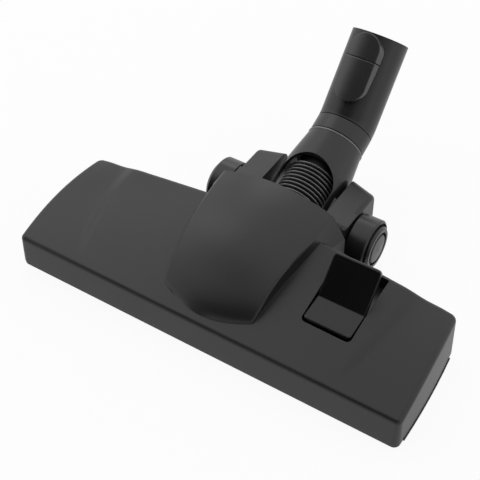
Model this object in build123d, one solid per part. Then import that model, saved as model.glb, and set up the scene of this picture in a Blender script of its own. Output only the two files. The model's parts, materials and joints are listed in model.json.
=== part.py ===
from build123d import *
import math
import os

# Vacuum floor brush head. Millimetres, X to the right, Y to the back, Z up.
# The origin lies on the underside of the sole plate, in the middle of the head.

# Head in plan
head_width = 277.4
head_front = 42.0
head_back = 42.2
back_narrowing = 3.8
end_bow = 1.6
front_corner_radius = 4.4
rear_corner_radius = 6.0
inner_corner_radius = 0.4
side_draft = 2.0

# Top cover
cover_bottom = 3.0
cover_wall = 2.4
edge_radius = 3.4
crease_height = 24.6
wing_climb = 28.5
wing_back_height = 50.2
wing_fall = 0.155
step_height = 1.1
step_reach_front = 92.0
step_reach_back = 106.0
step_half_width = 5.0

# Hump of the cover
hump_front = 36.0
hump_rear = 55.0
hump_foot_height = 24.0
nose_y = -24.0
nose_height = 46.5
brow_y = -9.0
brow_height = 53.5
hump_height = 63.3
crown_radius = 107.0
nose_bow = 0.0087
hump_half_front = 33.0
hump_half_rear = 36.0
hump_flare = 13.5
hump_middle_y = 12.0
hump_middle_half = 37.6
hump_top_half = 37.0
hump_waist_height = 40.0
hump_skirt_height = 23.0
flank_overrun = 8.0
ridge_radius = 3.4

# Pedal and the well it stands in
pedal_left = 57.0
pedal_right = 88.4
pedal_side_gap = 0.9
pedal_front_gap = 2.0
pedal_front = -10.0
pedal_knee_y = 7.5
pedal_knee_height = 37.2
pedal_front_height = 35.3
pedal_lean = 48.0
pedal_plate_length = 29.0
pedal_wall = 3.0
pedal_corner = 3.0
tread_corner = 2.0
pedal_pin_y = 8.5
pedal_pin_height = 27.0
pedal_pin_radius = 1.6
pedal_arm_reach = 31.5
well_shelf_height = 32.0
well_wall = 1.8

# Chassis, sole plate and air path
sole_thickness = 1.0
sole_inset = 3.5
chassis_thickness = 2.0
ledge_reach = 0.5
ledge_half = 34.0
ledge_groove = 0.6
rim_height = 5.0
rim_wall = 1.6
slot_front = 20.0
slot_back = 7.0
slot_end_inset = 23.0
channel_height = 11.0
channel_wall = 1.8
plenum_half_width = 18.0
plenum_height = 36.0
plenum_rear = 50.0
screw_radius = 1.4
screw_head_radius = 2.9
screw_length = 7.0
boss_wall = 1.8
lint_width = 3.4
lint_half_length = 46.0
lint_gap = 1.4

# Brush frame and bristles
brush_front_y = 33.0
brush_back_y = 24.0
brush_end_inset = 16.0
brush_strip_width = 6.0
brush_strip_height = 3.0
brush_rest_height = 10.0
bristle_thickness = 3.0
bristle_pitch = 4.0
bristle_gap = 1.2
bristle_tip_height = 1.4
bridge_x = 72.0
bridge_width = 8.0
bridge_top = 21.5
guide_radius = 1.5
leaf_thickness = 0.5
leaf_front = -2.0
leaf_foot = 6.0
leaf_rise = 7.0

# Wheels, axle and shoulders
wheel_radius = 18.6
wheel_lift = 0.1
wheel_width = 14.4
axle_y = 78.0
axle_radius = 4.0
shoulder_inner = 26.2
shoulder_outer = 44.8
shoulder_top = 38.0
shoulder_front = 29.0
shoulder_rear = 112.0
shoulder_slant = 6.0
shoulder_brow = 7.0
shoulder_nose = 8.0
shoulder_heel = 12.0
shoulder_corner = 3.0
lip_rise = 13.0
lip_wall = 1.6
lip_sweep = 12.0
wheel_gap = 0.7
hub_radius = 15.2
hub_rise = 2.5
hub_bevel = 1.4
rim_bevel = 1.0
rim_groove = 1.8
cap_radius = 9.8
cap_gap = 1.9
cap_depth = 2.2
cap_bevel = 0.6

# Neck fork, hose, swivel ring and elbow
neck_angle = 22.8
fork_radius = 24.0
fork_wall = 2.4
collar_waist = 40.0
collar_waist_radius = 22.6
collar_length = 58.2
collar_end_radius = 20.0
window_half_width = 20.0
window_spring = 18.0
window_top = 36.0
collar_foot = 6.0
collar_rim = 1.5
collar_groove = 2.5
snap_depth = 0.9
rim_slot_half = 4.5
rim_slot_height = 1.6
rim_slot_depth = 1.1
boss_radius = 9.0
bush_wall = 1.6
spigot_height = 19.5
hose_stand_off = 4.6
hose_bore = 16.0
hose_crest = 18.2
hose_root = 16.9
hose_pitch = 3.0
hose_seat = 37.0
hose_end_gap = 4.0
hose_plain = 5.0
clamp_wall = 1.4
clamp_start = 1.5
clamp_width = 3.5
cuff_height = 4.5
stub_depth = 11.0
spigot_radius = 17.75
spigot_bore = 15.4
spigot_depth = 13.0
ledge_wall = 1.5
swivel_length = 10.8
seam_turn = 5.0
seam_groove = 0.6
elbow_angle = 48.0
bend_radius = 24.0
elbow_run = 63.0
tube_radius = 20.05
socket_radius = 17.65
socket_depth = 46.0

# Latch on the socket
latch_length = 47.0
latch_width = 20.0
latch_foot_width = 26.6
latch_top_radius = 24.0
latch_from_mouth = 1.5
latch_cover_length = 17.0
latch_wall = 1.4
latch_split = 0.6
latch_travel = 5.0
nub_radius = 1.3
nub_height = 18.0
nub_back = 4.4
nub_end = 7.2
lever_thickness = 1.1
lever_sink = 0.75
catch_width = 10.0
catch_half = 2.0
lever_heel = 2.6
lever_play = 0.4
latch_leaf_start = 6.0
latch_leaf_foot = 5.0
latch_leaf_rise = 4.0

# Clearances
running_fit = 0.05
swivel_fit = 0.1
gap = 0.3
slip = 0.1

# Worked-out places
chassis_top = sole_thickness + chassis_thickness
axle_height = wheel_radius + wheel_lift
pivot = Vector(0, axle_y, axle_height)
wheel_inner = shoulder_outer + wheel_gap
wheel_outer = wheel_inner + wheel_width
fork_outer = fork_radius
fork_inner = fork_radius - fork_wall
brush_half = head_width / 2 - brush_end_inset
slot_half = head_width / 2 - slot_end_inset
collar_bore = spigot_radius + swivel_fit
collar_ledge = collar_length - spigot_depth - gap


def along(angle):
    """Unit vector in the middle plane, rising backwards by an angle."""
    return Vector(0, math.cos(math.radians(angle)), math.sin(math.radians(angle)))


neck_axis = along(neck_angle)
elbow_axis = along(elbow_angle)
collar_end = pivot + neck_axis * collar_length
bend_tangent = bend_radius * math.tan(math.radians((elbow_angle - neck_angle) / 2))
elbow_corner = collar_end + neck_axis * (swivel_length + bend_tangent)
mouth = elbow_corner + elbow_axis * elbow_run
hose_end = pivot + neck_axis * hose_seat
hose_start = Vector(0, plenum_rear + hose_stand_off, spigot_height)
hose_axis = (hose_end - hose_start).normalized()
hose_length = (hose_end - hose_start).length
elbow_front = Vector(0, -elbow_axis.Z, elbow_axis.Y)

neck_frame = Location(Plane(origin=pivot, x_dir=(1, 0, 0), z_dir=neck_axis))
hose_frame = Location(Plane(origin=hose_start, x_dir=(1, 0, 0), z_dir=hose_axis))
socket_frame = Location(Plane(origin=mouth, x_dir=(1, 0, 0), z_dir=elbow_axis))
latch_frame = Location(Plane(origin=mouth, x_dir=(1, 0, 0), z_dir=elbow_front))


def save(name, shape):
    """Writes one piece to its own file."""
    export_step(shape, f"parts/{name}.step")


def save_pair(name, right_shape):
    """Writes a right-hand piece and its mirror image."""
    save(f"right_{name}", right_shape)
    save(f"left_{name}", mirror(right_shape, about=Plane.YZ))


def block(x0, x1, y0, y1, z0, z1):
    """Box between two corners."""
    return Pos((x0 + x1) / 2, (y0 + y1) / 2, (z0 + z1) / 2) * Box(x1 - x0, y1 - y0, z1 - z0)


def turned(points):
    """Solid of revolution about Z from a closed outline of (radius, height) points."""
    outline = Polyline(*[(r, 0, h) for r, h in points], close=True)
    return revolve(make_face(outline), Axis.Z)


def ring(outer, inner, low, high):
    """Plain ring about Z between two heights."""
    return turned([(inner, low), (outer, low), (outer, high), (inner, high)])


def rod(radius, start, end):
    """Solid cylinder between two points."""
    start, end = Vector(*start), Vector(*end)
    return Location(Plane(origin=start, z_dir=end - start)) * Cylinder(
        radius, (end - start).length, align=(Align.CENTER, Align.CENTER, Align.MIN)
    )


def side_plate(points, x0, x1, rounding=None, slant=0.0):
    """Plate between two X positions from a side outline of (y, z) points, moved forward by a slant."""
    outline = Polyline(*[(0, y, z) for y, z in points], close=True)
    face = make_face(outline)
    for corner, radius in (rounding or {}).items():
        spot = Vector(0, *points[corner])
        face = fillet(face.vertices().sort_by_distance(spot)[:1], radius)
    across = Vector(x1 - x0, -slant, 0)
    return Pos(x0, 0, 0) * extrude(face, across.length, dir=across)


# Top cover


def plan(inset, height):
    """Outline of the head in plan, drawn in by an inset."""
    half_front = head_width / 2 - inset
    half_back = half_front - back_narrowing
    front, back = inset - head_front, head_back - inset
    middle = ((half_front + half_back) / 2 + end_bow, (front + back) / 2)
    right_end = ThreePointArc((half_front, front), middle, (half_back, back))
    left_end = mirror(right_end, about=Plane.YZ)
    front_edge = Line((-half_front, front), (half_front, front))
    back_edge = Line((-half_back, back), (half_back, back))
    face = make_face([front_edge, right_end, back_edge, left_end])
    front_corners = face.vertices().group_by(Axis.Y)[0]
    face = fillet(front_corners, max(front_corner_radius - inset, inner_corner_radius))
    rear_corners = face.vertices().group_by(Axis.Y)[-1]
    face = fillet(rear_corners, max(rear_corner_radius - inset, inner_corner_radius))
    return Pos(0, 0, height) * face


def drafted_body(inset, bottom, top):
    """The head's outline raised with drafted sides."""
    return extrude(plan(inset, bottom), top - bottom, taper=side_draft)


def wing_height(x, y):
    """Height of the cover's upper surface."""
    draft = math.tan(math.radians(side_draft))
    crease_y = (crease_height - cover_bottom) * draft - head_front
    back_y = head_back - (wing_back_height - cover_bottom) * draft
    depth = (y - crease_y) / (back_y - crease_y)
    reach = math.hypot(x, hump_half_front / 2)
    step_reach = step_reach_front + (step_reach_back - step_reach_front) * math.sqrt(max(depth, 0.0))
    across = min(max((reach - step_reach) / step_half_width, -1.0), 1.0)
    step = step_height * (0.5 + 0.75 * across - 0.25 * across**3)
    back_height = wing_back_height - wing_fall * (reach - hump_half_rear) - step
    bend = wing_climb - (back_height - crease_height)
    return crease_height + wing_climb * depth - bend * depth * abs(depth)


def under_surface(rows, drop):
    """Everything below a smooth surface through rows of points."""
    surface = Face.make_surface_from_array_of_points(rows, tol=0.02)
    return extrude(surface, drop, dir=(0, 0, -1))


def below_wings(lowered):
    """Everything below the wings' upper surface, lowered by a wall."""
    columns, lines = 32, 6
    margin = 8.0
    half = head_width / 2 + margin
    front, back = -head_front - margin, head_back + margin
    rows = []
    for i in range(columns + 1):
        x = -half + 2 * half * i / columns
        ys = [front + (back - front) * j / lines for j in range(lines + 1)]
        rows.append([(x, y, wing_height(x, y) - lowered) for y in ys])
    return under_surface(rows, wing_back_height + margin)


def below_crown():
    """Everything below the hump's crowned surface."""
    overrun = 4.0
    line = Spline(
        (0, -hump_front, hump_foot_height),
        (0, nose_y, nose_height),
        (0, brow_y, brow_height),
        (0, hump_rear, hump_height),
        (0, hump_rear + overrun, hump_height),
    )
    stations, columns = 14, 10
    half = hump_half_rear + hump_flare + overrun
    rows = []
    for i in range(stations + 1):
        along_line = i / stations
        at = line @ along_line
        xs = [half * (2 * j / columns - 1) for j in range(columns + 1)]
        bow = nose_bow * (1 - along_line) ** 3
        rows.append([(x, at.Y + bow * x * x, at.Z - x * x / (2 * crown_radius)) for x in xs])
    return under_surface(rows, hump_height)


def hump_outline(inset, height):
    """Outline of the leaning hump in plan at one height, drawn in by an inset."""
    share = (height - hump_waist_height) / (hump_height - hump_waist_height)
    half_front = hump_half_front - inset
    half_middle = hump_middle_half + (hump_top_half - hump_middle_half) * share - inset
    half_rear = hump_half_rear + hump_flare * (1 - share) - inset
    right = Spline((half_front, -hump_front), (half_middle, hump_middle_y), (half_rear, hump_rear))
    left = mirror(right, about=Plane.YZ)
    front_edge = Line((-half_front, -hump_front), (half_front, -hump_front))
    rear_edge = Line((-half_rear, hump_rear), (half_rear, hump_rear))
    return Pos(0, 0, height) * make_face([front_edge, right, rear_edge, left])


def hump_flanks(inset, bottom):
    """The hump's sides, leaning in all the way up."""
    low = hump_outline(inset, bottom)
    high = hump_outline(inset, hump_height + flank_overrun)
    return loft([low, high], ruled=True)


def hump_waist(inset):
    """Upright room that trims the hump below its waist."""
    return extrude(hump_outline(inset, hump_waist_height), hump_height, both=True)


def is_ridge(edge):
    """Whether an edge is where the crown meets a flank."""
    middle = edge @ 0.5
    slope = abs((edge % 0.5).Z)
    sideways = abs(middle.X) > hump_half_front * 0.9 and middle.Y < hump_rear - ridge_radius / 5
    return sideways and middle.Z > hump_skirt_height + ridge_radius / 5 and slope > 0.1


def is_wing_edge(edge):
    """Whether an edge is where the wings' upper surface meets their sides."""
    steep = abs((edge % 0.5).Z)
    return (edge @ 0.5).Z > crease_height - edge_radius and steep < 0.7


def make_top_cover():
    """The cover: wings and hump in one wall, the pedal well and the rear opening."""
    headroom = hump_height + flank_overrun
    wings = drafted_body(0, cover_bottom, headroom) & below_wings(0)
    wings = fillet([e for e in wings.edges() if is_wing_edge(e)], edge_radius)
    below = cover_bottom - cover_wall
    hollow = drafted_body(cover_wall, cover_bottom, headroom) & below_wings(cover_wall)
    hollow += extrude(plan(cover_wall, below), cover_wall, dir=(0, 0, 1))
    crown = below_crown()
    hump = crown & hump_flanks(0, hump_skirt_height)
    hump = fillet([e for e in hump.edges() if is_ridge(e)], ridge_radius) & hump_waist(0)
    hump_hollow = Pos(0, cover_wall, -cover_wall) * crown
    hump_hollow &= hump_flanks(cover_wall, hump_skirt_height - cover_wall) & hump_waist(cover_wall)
    hump_hollow += Pos(0, cover_wall, 0) * hump_hollow
    opening_half = hump_half_rear + hump_flare - 2 * cover_wall
    opening_front, opening_rear = shoulder_front - cover_wall, hump_rear + cover_wall
    rear_opening = block(
        -opening_half, opening_half, opening_front, opening_rear, below, hump_skirt_height + cover_wall
    )
    arm_room = shoulder_outer + gap
    rear_opening += block(
        -arm_room, arm_room, opening_front, opening_rear, below, shoulder_top + gap
    )
    well_left, well_right = pedal_left - pedal_side_gap, pedal_right + pedal_side_gap
    well_back = pedal_knee_y + 2 * pedal_wall
    well = block(
        well_left - well_wall,
        well_right + well_wall,
        well_back - well_wall,
        head_back,
        well_shelf_height - well_wall,
        hump_height,
    )
    well_room = block(
        well_left, well_right, well_back, head_back - 2 * cover_wall, well_shelf_height, hump_height
    )
    tread_room = block(
        well_left,
        well_right,
        pedal_front - pedal_front_gap,
        well_back,
        crease_height - cover_wall,
        hump_height,
    )
    tread_room = fillet(tread_room.edges().filter_by(Axis.Z).group_by(Axis.Y)[0], pedal_wall)
    cover = wings + hump - hollow - hump_hollow - rear_opening
    return cover + (well & wings) - well_room - tread_room


# Chassis, sole plate and what is fastened to them


def screw_places():
    """Where the sole screws stand, as (x, y)."""
    far = head_width / 2 - brush_end_inset + screw_head_radius + boss_wall + gap
    near = bridge_x - bridge_width
    back = head_back - cover_wall - rim_wall - screw_radius - boss_wall - 2 * gap
    return [(s * x, y) for s in (-1, 1) for x, y in ((far, -brush_front_y), (near, back))]


def bristle_slots(low, high, slack):
    """The two slots that the bristles pass through."""
    half = brush_half - brush_strip_width + slack
    reach = bristle_thickness / 2 + slack
    front = block(-half, half, -brush_front_y - reach, -brush_front_y + reach, low, high)
    back = block(-half, half, brush_back_y - reach, brush_back_y + reach, low, high)
    return front + back


def guide_places():
    """Where the brush frame's guide posts stand, as (x, y)."""
    reach = brush_half - brush_strip_width / 2
    return [(s * reach, y) for s in (-1, 1) for y in (-brush_front_y, brush_back_y)]


def make_plenum(inset):
    """Solid of the duct from the suction channel to the rear, drawn in by an inset."""
    front, back = inset - slot_front - channel_wall, plenum_rear - inset
    low, top = chassis_top + inset, plenum_height - inset
    tunnel_front = channel_wall - slot_back - inset
    tunnel_back = brush_back_y + brush_strip_width / 2 + 3 * gap + inset
    tunnel_top = brush_rest_height + brush_strip_height + 3 * gap + inset
    outline = [
        (front, low),
        (front, channel_height),
        (front + plenum_height - channel_height, top),
        (back, top),
        (back, low),
        (tunnel_back, low),
        (tunnel_back, tunnel_top),
        (tunnel_front, tunnel_top),
        (tunnel_front, low),
    ]
    return side_plate(outline, inset - plenum_half_width, plenum_half_width - inset)


def air_slot(low, high):
    """Room of the suction slot between two heights."""
    return block(-slot_half, slot_half, -slot_front, -slot_back, low, high)


def make_air_duct():
    """Suction channel, duct over the rear brush and the spigot of the hose, standing on the chassis."""
    channel = block(
        -slot_half - channel_wall,
        slot_half + channel_wall,
        -slot_front - channel_wall,
        channel_wall - slot_back,
        chassis_top,
        channel_height,
    )
    air = air_slot(chassis_top - channel_wall, channel_height - channel_wall)
    spigot = hose_frame * ring(hose_bore - slip, hose_bore - slip - channel_wall, -2 * hose_stand_off, 9)
    throat = hose_frame * ring(hose_bore - slip - channel_wall, 0, -3 * hose_stand_off, 10)
    return channel + make_plenum(0) + spigot - air - make_plenum(channel_wall) - throat


def make_chassis():
    """Floor with a ledge at each end, rim, guide posts, screw bosses and the pedal's ears."""
    floor = extrude(plan(gap, sole_thickness), chassis_thickness, dir=(0, 0, 1))
    ledge = extrude(plan(-ledge_reach, sole_thickness), chassis_thickness - ledge_groove, dir=(0, 0, 1))
    half = head_width
    floor += ledge & block(-half, half, -ledge_half, ledge_half, 0, chassis_top)
    rim_inset, rim_top = cover_wall + gap, chassis_top + rim_height
    rim = drafted_body(rim_inset, chassis_top, rim_top)
    rim -= drafted_body(rim_inset + rim_wall, chassis_top, rim_top)
    arm_room = shoulder_outer + gap
    rim -= block(-arm_room, arm_room, shoulder_front, head_back, chassis_top, rim_top)
    body = floor + rim
    for x, y in guide_places():
        body += rod(guide_radius, (x, y, chassis_top), (x, y, bridge_top - brush_strip_height))
    for x, y in screw_places():
        boss = screw_radius + boss_wall
        body += rod(boss, (x, y, chassis_top), (x, y, sole_thickness + screw_length + boss_wall))
    for inner in (pedal_left - gap - boss_wall, pedal_right + gap):
        ear = [(pedal_pin_y + a * boss_wall * 2, z) for a, z in ((-2, chassis_top), (2, chassis_top))]
        top = pedal_pin_height + pedal_pin_radius + boss_wall / 2
        ear += [(pedal_pin_y + boss_wall * 2, top), (pedal_pin_y - boss_wall * 2, top)]
        body += side_plate(ear, inner, inner + boss_wall)
    body -= rod(
        pedal_pin_radius + running_fit,
        (pedal_left - gap - 2 * boss_wall, pedal_pin_y, pedal_pin_height),
        (pedal_right + gap + 2 * boss_wall, pedal_pin_y, pedal_pin_height),
    )
    for x, y in screw_places():
        body -= rod(screw_radius + running_fit, (x, y, 0), (x, y, sole_thickness + screw_length + gap))
    return body - air_slot(0, chassis_top) - bristle_slots(0, channel_height, slip * 5)


def make_sole_plate():
    """Steel plate with its suction slot, brush slots, lint pockets and screw holes."""
    plate = extrude(plan(sole_inset, 0), sole_thickness, dir=(0, 0, 1))
    slot = air_slot(-sole_thickness, 2 * sole_thickness)
    plate -= fillet(slot.edges().filter_by(Axis.Z), lint_width)
    plate -= bristle_slots(-1, sole_thickness + 1, slip * 5)
    for strip in lint_strips(slip):
        plate -= strip
    for x, y in screw_places():
        plate -= rod(screw_head_radius + running_fit, (x, y, -1), (x, y, sole_thickness + 1))
    return plate


def lint_strips(slack):
    """Front and rear lint strip, each in its pocket of the sole plate."""
    front = -slot_front - lint_gap
    rear = -slot_back + lint_gap
    half = lint_half_length + slack
    low, high = slip - slack, sole_thickness + (1 if slack else 0)
    low -= 1 if slack else 0
    return (
        block(-half, half, front - lint_width - slack, front + slack, low, high),
        block(-half, half, rear - slack, rear + lint_width + slack, low, high),
    )


def make_sole_screws():
    """Pan-head screws with a cross slot, flush in the sole plate."""
    recess = 0.5
    screws = []
    for x, y in screw_places():
        screw = rod(screw_head_radius, (x, y, slip), (x, y, sole_thickness))
        screw += rod(screw_radius, (x, y, sole_thickness), (x, y, sole_thickness + screw_length))
        for a, b in ((1.8, 0.4), (0.4, 1.8)):
            screw -= block(x - a, x + a, y - b, y + b, 0, slip + recess)
        screws.append(screw)
    return Compound(children=screws)


# Brush frame


def make_brush_frame():
    """Two strips joined by two bridges, guided on posts."""
    low, high = brush_rest_height, brush_rest_height + brush_strip_height
    reach = brush_strip_width / 2
    frame = block(-brush_half, brush_half, -brush_front_y - reach, reach - brush_front_y, low, high)
    frame += block(-brush_half, brush_half, brush_back_y - reach, brush_back_y + reach, low, high)
    front, back = -brush_front_y - reach, brush_back_y + reach
    under = bridge_top - brush_strip_height
    leg = brush_strip_height
    arch = [
        (front, low),
        (front, bridge_top),
        (back, bridge_top),
        (back, low),
        (back - leg, low),
        (back - leg, under),
        (front + leg, under),
        (front + leg, low),
    ]
    for x in (-bridge_x, bridge_x):
        frame += side_plate(
            arch, x - bridge_width / 2, x + bridge_width / 2, {1: leg, 2: leg, 5: leg / 2, 6: leg / 2}
        )
    for x, y in guide_places():
        frame -= rod(guide_radius + slip, (x, y, low - 1), (x, y, bridge_top + 1))
    return frame


def make_bristles(y):
    """One row of tufts, drawn as a comb under its root strip."""
    half = brush_half - brush_strip_width
    reach = bristle_thickness / 2
    root = 2.0
    comb = block(-half, half, y - reach, y + reach, bristle_tip_height, brush_rest_height)
    count = int(2 * half / bristle_pitch)
    start = -(count - 1) * bristle_pitch / 2
    overrun = 1.0
    notch_low, notch_high = bristle_tip_height - overrun, brush_rest_height - root
    notch = Box(bristle_gap, bristle_thickness + overrun, notch_high - notch_low)
    places = [Pos(start + i * bristle_pitch, y, (notch_low + notch_high) / 2) for i in range(count)]
    return comb - [place * notch for place in places]


def leaf_spring(points, width):
    """Flat leaf bent once up and once level, through points of one X position."""
    line = FilletPolyline(*points, radius=2 * width / 3)
    section = Plane(origin=line @ 0, x_dir=(1, 0, 0), z_dir=line % 0) * Rectangle(width, leaf_thickness)
    return sweep(section, path=line)


def make_lift_spring(x):
    """Leaf spring from the chassis floor up to a bridge."""
    low = chassis_top + running_fit + leaf_thickness / 2
    high = bridge_top - brush_strip_height - slip - leaf_thickness / 2
    bend, top = leaf_front + leaf_foot, leaf_front + leaf_foot + leaf_rise
    points = [(x, leaf_front, low), (x, bend, low), (x, top, high), (x, top + leaf_foot, high)]
    return leaf_spring(points, leaf_foot)


# Pedal


def make_pedal():
    """Tread, leaning plate with a rounded lip, hub and the two pressing arms."""
    lean = along(pedal_lean)
    knee = Vector(0, pedal_knee_y, pedal_knee_height)
    lip = knee + lean * pedal_plate_length
    inward = Vector(0, lean.Z, -lean.Y) * pedal_wall
    outline = [
        (pedal_front, pedal_front_height),
        (knee.Y, knee.Z),
        (lip.Y, lip.Z),
        ((lip + inward).Y, (lip + inward).Z),
        (knee.Y + pedal_wall, knee.Z - pedal_wall),
        (pedal_pin_y + pedal_wall, pedal_pin_height),
        (pedal_pin_y - pedal_wall, pedal_pin_height),
        (knee.Y - pedal_wall, knee.Z - 2 * pedal_wall),
        (pedal_front, pedal_front_height - pedal_wall),
    ]
    rounding = {0: 0.8, 1: 1.0, 2: pedal_wall * 0.45, 3: pedal_wall * 0.45}
    pedal = side_plate(outline, pedal_left, pedal_right, rounding)
    tread_outline = block(pedal_left, pedal_right, pedal_front, lip.Y + pedal_wall, 0, lip.Z + pedal_wall)
    pedal &= fillet(tread_outline.edges().filter_by(Axis.Z).group_by(Axis.Y)[0], tread_corner)
    reach = 2 * pedal_plate_length
    middle = lip - lean * reach + Vector((pedal_left + pedal_right) / 2, 0, 0)
    front_view = Plane(origin=middle, x_dir=(1, 0, 0), z_dir=-inward)
    plate_outline = RectangleRounded(pedal_right - pedal_left, 2 * reach, pedal_corner)
    pedal &= extrude(front_view * plate_outline, reach, both=True)
    hub = pedal_pin_radius + boss_wall
    pedal += rod(
        hub,
        (pedal_left, pedal_pin_y, pedal_pin_height),
        (pedal_right, pedal_pin_y, pedal_pin_height),
    )
    tip_y = pedal_pin_y - pedal_arm_reach
    tip_low = bridge_top + gap + slip
    arm = [
        (pedal_pin_y, pedal_pin_height + hub * 0.8),
        (tip_y, tip_low + pedal_wall * 1.4),
        (tip_y, tip_low),
        (tip_y + pedal_wall, tip_low),
        (pedal_pin_y, pedal_pin_height - hub * 0.8),
    ]
    pedal += side_plate(arm, bridge_x - bridge_width / 2, bridge_x + bridge_width / 2, {2: 1.4, 3: 1.4})
    return pedal - rod(
        pedal_pin_radius + running_fit,
        (pedal_left - 1, pedal_pin_y, pedal_pin_height),
        (pedal_right + 1, pedal_pin_y, pedal_pin_height),
    )


def make_pedal_pin():
    """Steel pin across the two chassis ears."""
    return rod(
        pedal_pin_radius,
        (pedal_left - gap - boss_wall, pedal_pin_y, pedal_pin_height),
        (pedal_right + gap + boss_wall, pedal_pin_y, pedal_pin_height),
    )


# Shoulders, axle pins and wheels


def shoulder_lip():
    """Part of the right shoulder that sweeps up to the hump's rear edge, within the hump's outline."""
    front, low, high = hump_rear + gap, shoulder_top - shoulder_nose, shoulder_top + lip_rise
    wall, rear = front + lip_wall, front + lip_wall + 2 * lip_sweep
    outline = [
        (front, low),
        (front, high),
        (wall, high),
        (wall, shoulder_top),
        (rear, shoulder_top),
        (rear, low),
    ]
    lip = side_plate(outline, shoulder_inner, shoulder_outer, {3: lip_sweep})
    wide = hump_half_rear + hump_flare
    section = Polyline(
        (0, front, 0),
        (wide, front, 0),
        (wide, front, hump_waist_height),
        (hump_half_rear, front, hump_height),
        (0, front, hump_height),
        close=True,
    )
    return lip & extrude(make_face(section), rear - front, dir=(0, 1, 0))


def make_shoulder():
    """Right bearing arm, from the chassis floor to behind the wheel, swept up to the hump's rear edge."""
    front = shoulder_front + shoulder_slant
    outline = [
        (front, chassis_top),
        (front, shoulder_top - shoulder_nose),
        (front + shoulder_nose, shoulder_top),
        (shoulder_rear, shoulder_top),
        (shoulder_rear, chassis_top + shoulder_nose),
        (shoulder_rear - shoulder_heel, chassis_top),
    ]
    rounding = {3: shoulder_brow, 4: shoulder_nose / 2, 5: shoulder_nose / 2}
    arm = side_plate(outline, shoulder_inner, shoulder_outer, rounding, shoulder_slant)
    rear_edge = (shoulder_outer, shoulder_rear - shoulder_slant, axle_height)
    corner = arm.edges().filter_by(Axis.Z).sort_by_distance(rear_edge)[:1]
    arm = fillet(corner, shoulder_corner) + shoulder_lip()
    return arm - axle_rod(axle_radius + running_fit, shoulder_inner - 1, shoulder_outer + 1)


def axle_rod(radius, x0, x1):
    """Cylinder on the axle line between two X positions."""
    return rod(radius, (x0, axle_y, axle_height), (x1, axle_y, axle_height))


def on_axle(solid):
    """Puts a solid turned about Z on the axle line, its height along X."""
    return Pos(0, axle_y, axle_height) * (Rot(0, 90, 0) * solid)


def make_wheel():
    """Right wheel: tread, rim groove, raised hub with a seat for its cap."""
    hub_out = wheel_outer + hub_rise
    seat = hub_out - cap_depth
    outline = [
        (axle_radius + running_fit, wheel_inner),
        (wheel_radius - rim_bevel, wheel_inner),
        (wheel_radius, wheel_inner + rim_bevel),
        (wheel_radius, wheel_outer - rim_bevel),
        (wheel_radius - rim_bevel, wheel_outer),
        (hub_radius + rim_groove, wheel_outer),
        (hub_radius + rim_groove, wheel_outer - hub_rise),
        (hub_radius, wheel_outer - hub_rise),
        (hub_radius, hub_out - hub_bevel),
        (hub_radius - hub_bevel, hub_out),
        (cap_radius + cap_gap, hub_out),
        (cap_radius + cap_gap, seat),
        (axle_radius + running_fit, seat),
    ]
    return on_axle(turned(outline))


def make_hub_cap():
    """Disc that closes the hub, on a short plug."""
    hub_out = wheel_outer + hub_rise
    outline = [
        (0, hub_out - cap_depth),
        (cap_radius, hub_out - cap_depth),
        (cap_radius, hub_out - cap_bevel / 2),
        (cap_radius - cap_bevel, hub_out + cap_bevel / 3),
        (0, hub_out + cap_bevel),
    ]
    return on_axle(turned(outline))


def make_axle_pin():
    """Right axle pin: through the fork bush, the shoulder and the wheel."""
    end = wheel_outer + hub_rise - cap_depth - gap
    return axle_rod(axle_radius, fork_inner + slip, end)


# Neck fork and hose


def make_neck_fork():
    """Collar with an arched window front and back, and two arms with bosses."""
    groove_top = collar_ledge + collar_groove
    collar = turned(
        [
            (fork_inner, collar_foot),
            (fork_radius, collar_foot),
            (fork_radius, window_top - collar_foot),
            (collar_waist_radius, collar_waist),
            (collar_end_radius, collar_length - collar_rim),
            (collar_end_radius - collar_rim, collar_length),
            (collar_bore, collar_length),
            (collar_bore, groove_top),
            (collar_bore + snap_depth, groove_top),
            (collar_bore + snap_depth, collar_ledge),
            (spigot_bore + 1, collar_ledge),
            (spigot_bore + 1, collar_ledge - ledge_wall),
            (collar_bore, collar_ledge - ledge_wall),
            (collar_bore, window_top),
            (fork_inner, window_top - collar_foot / 2),
        ]
    )
    window = Rectangle(2 * window_half_width, 2 * window_spring)
    window += Pos(0, window_spring) * Ellipse(window_half_width, window_top - window_spring)
    sketch_plane = Plane(origin=(0, 0, 0), x_dir=(1, 0, 0), z_dir=(0, -1, 0))
    opening = extrude(sketch_plane * window, 2 * fork_radius, both=True)
    fork = collar - opening
    slot_low = collar_length - rim_slot_height
    rim_slot = block(-rim_slot_half, rim_slot_half, -fork_radius, 0, slot_low, collar_length + 1)
    rim_slot -= ring(collar_end_radius - rim_slot_depth, 0, 0, 2 * collar_length)
    fork -= rim_slot
    arm_top = window_spring
    boss = Pos(fork_inner, 0, 0) * (Rot(0, 90, 0) * Cylinder(
        boss_radius, fork_wall, align=(Align.CENTER, Align.CENTER, Align.MIN)
    ))
    web = block(fork_inner, fork_outer, -boss_radius, boss_radius, 0, arm_top)
    arm = boss + web
    fork += arm + mirror(arm, about=Plane.YZ)
    bore = Rot(0, 90, 0) * Cylinder(axle_radius + running_fit + bush_wall + slip, 4 * fork_radius)
    return neck_frame * (fork - bore)


def make_fork_bush():
    """Right fork bush: sleeve in the boss, flange against the shoulder."""
    bore = axle_radius + running_fit
    outline = [
        (bore, fork_inner + slip),
        (bore + bush_wall, fork_inner + slip),
        (bore + bush_wall, fork_outer + slip),
        (bore + 2 * bush_wall, fork_outer + slip),
        (bore + 2 * bush_wall, shoulder_inner - gap),
        (bore, shoulder_inner - gap),
    ]
    return on_axle(turned(outline))


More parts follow.
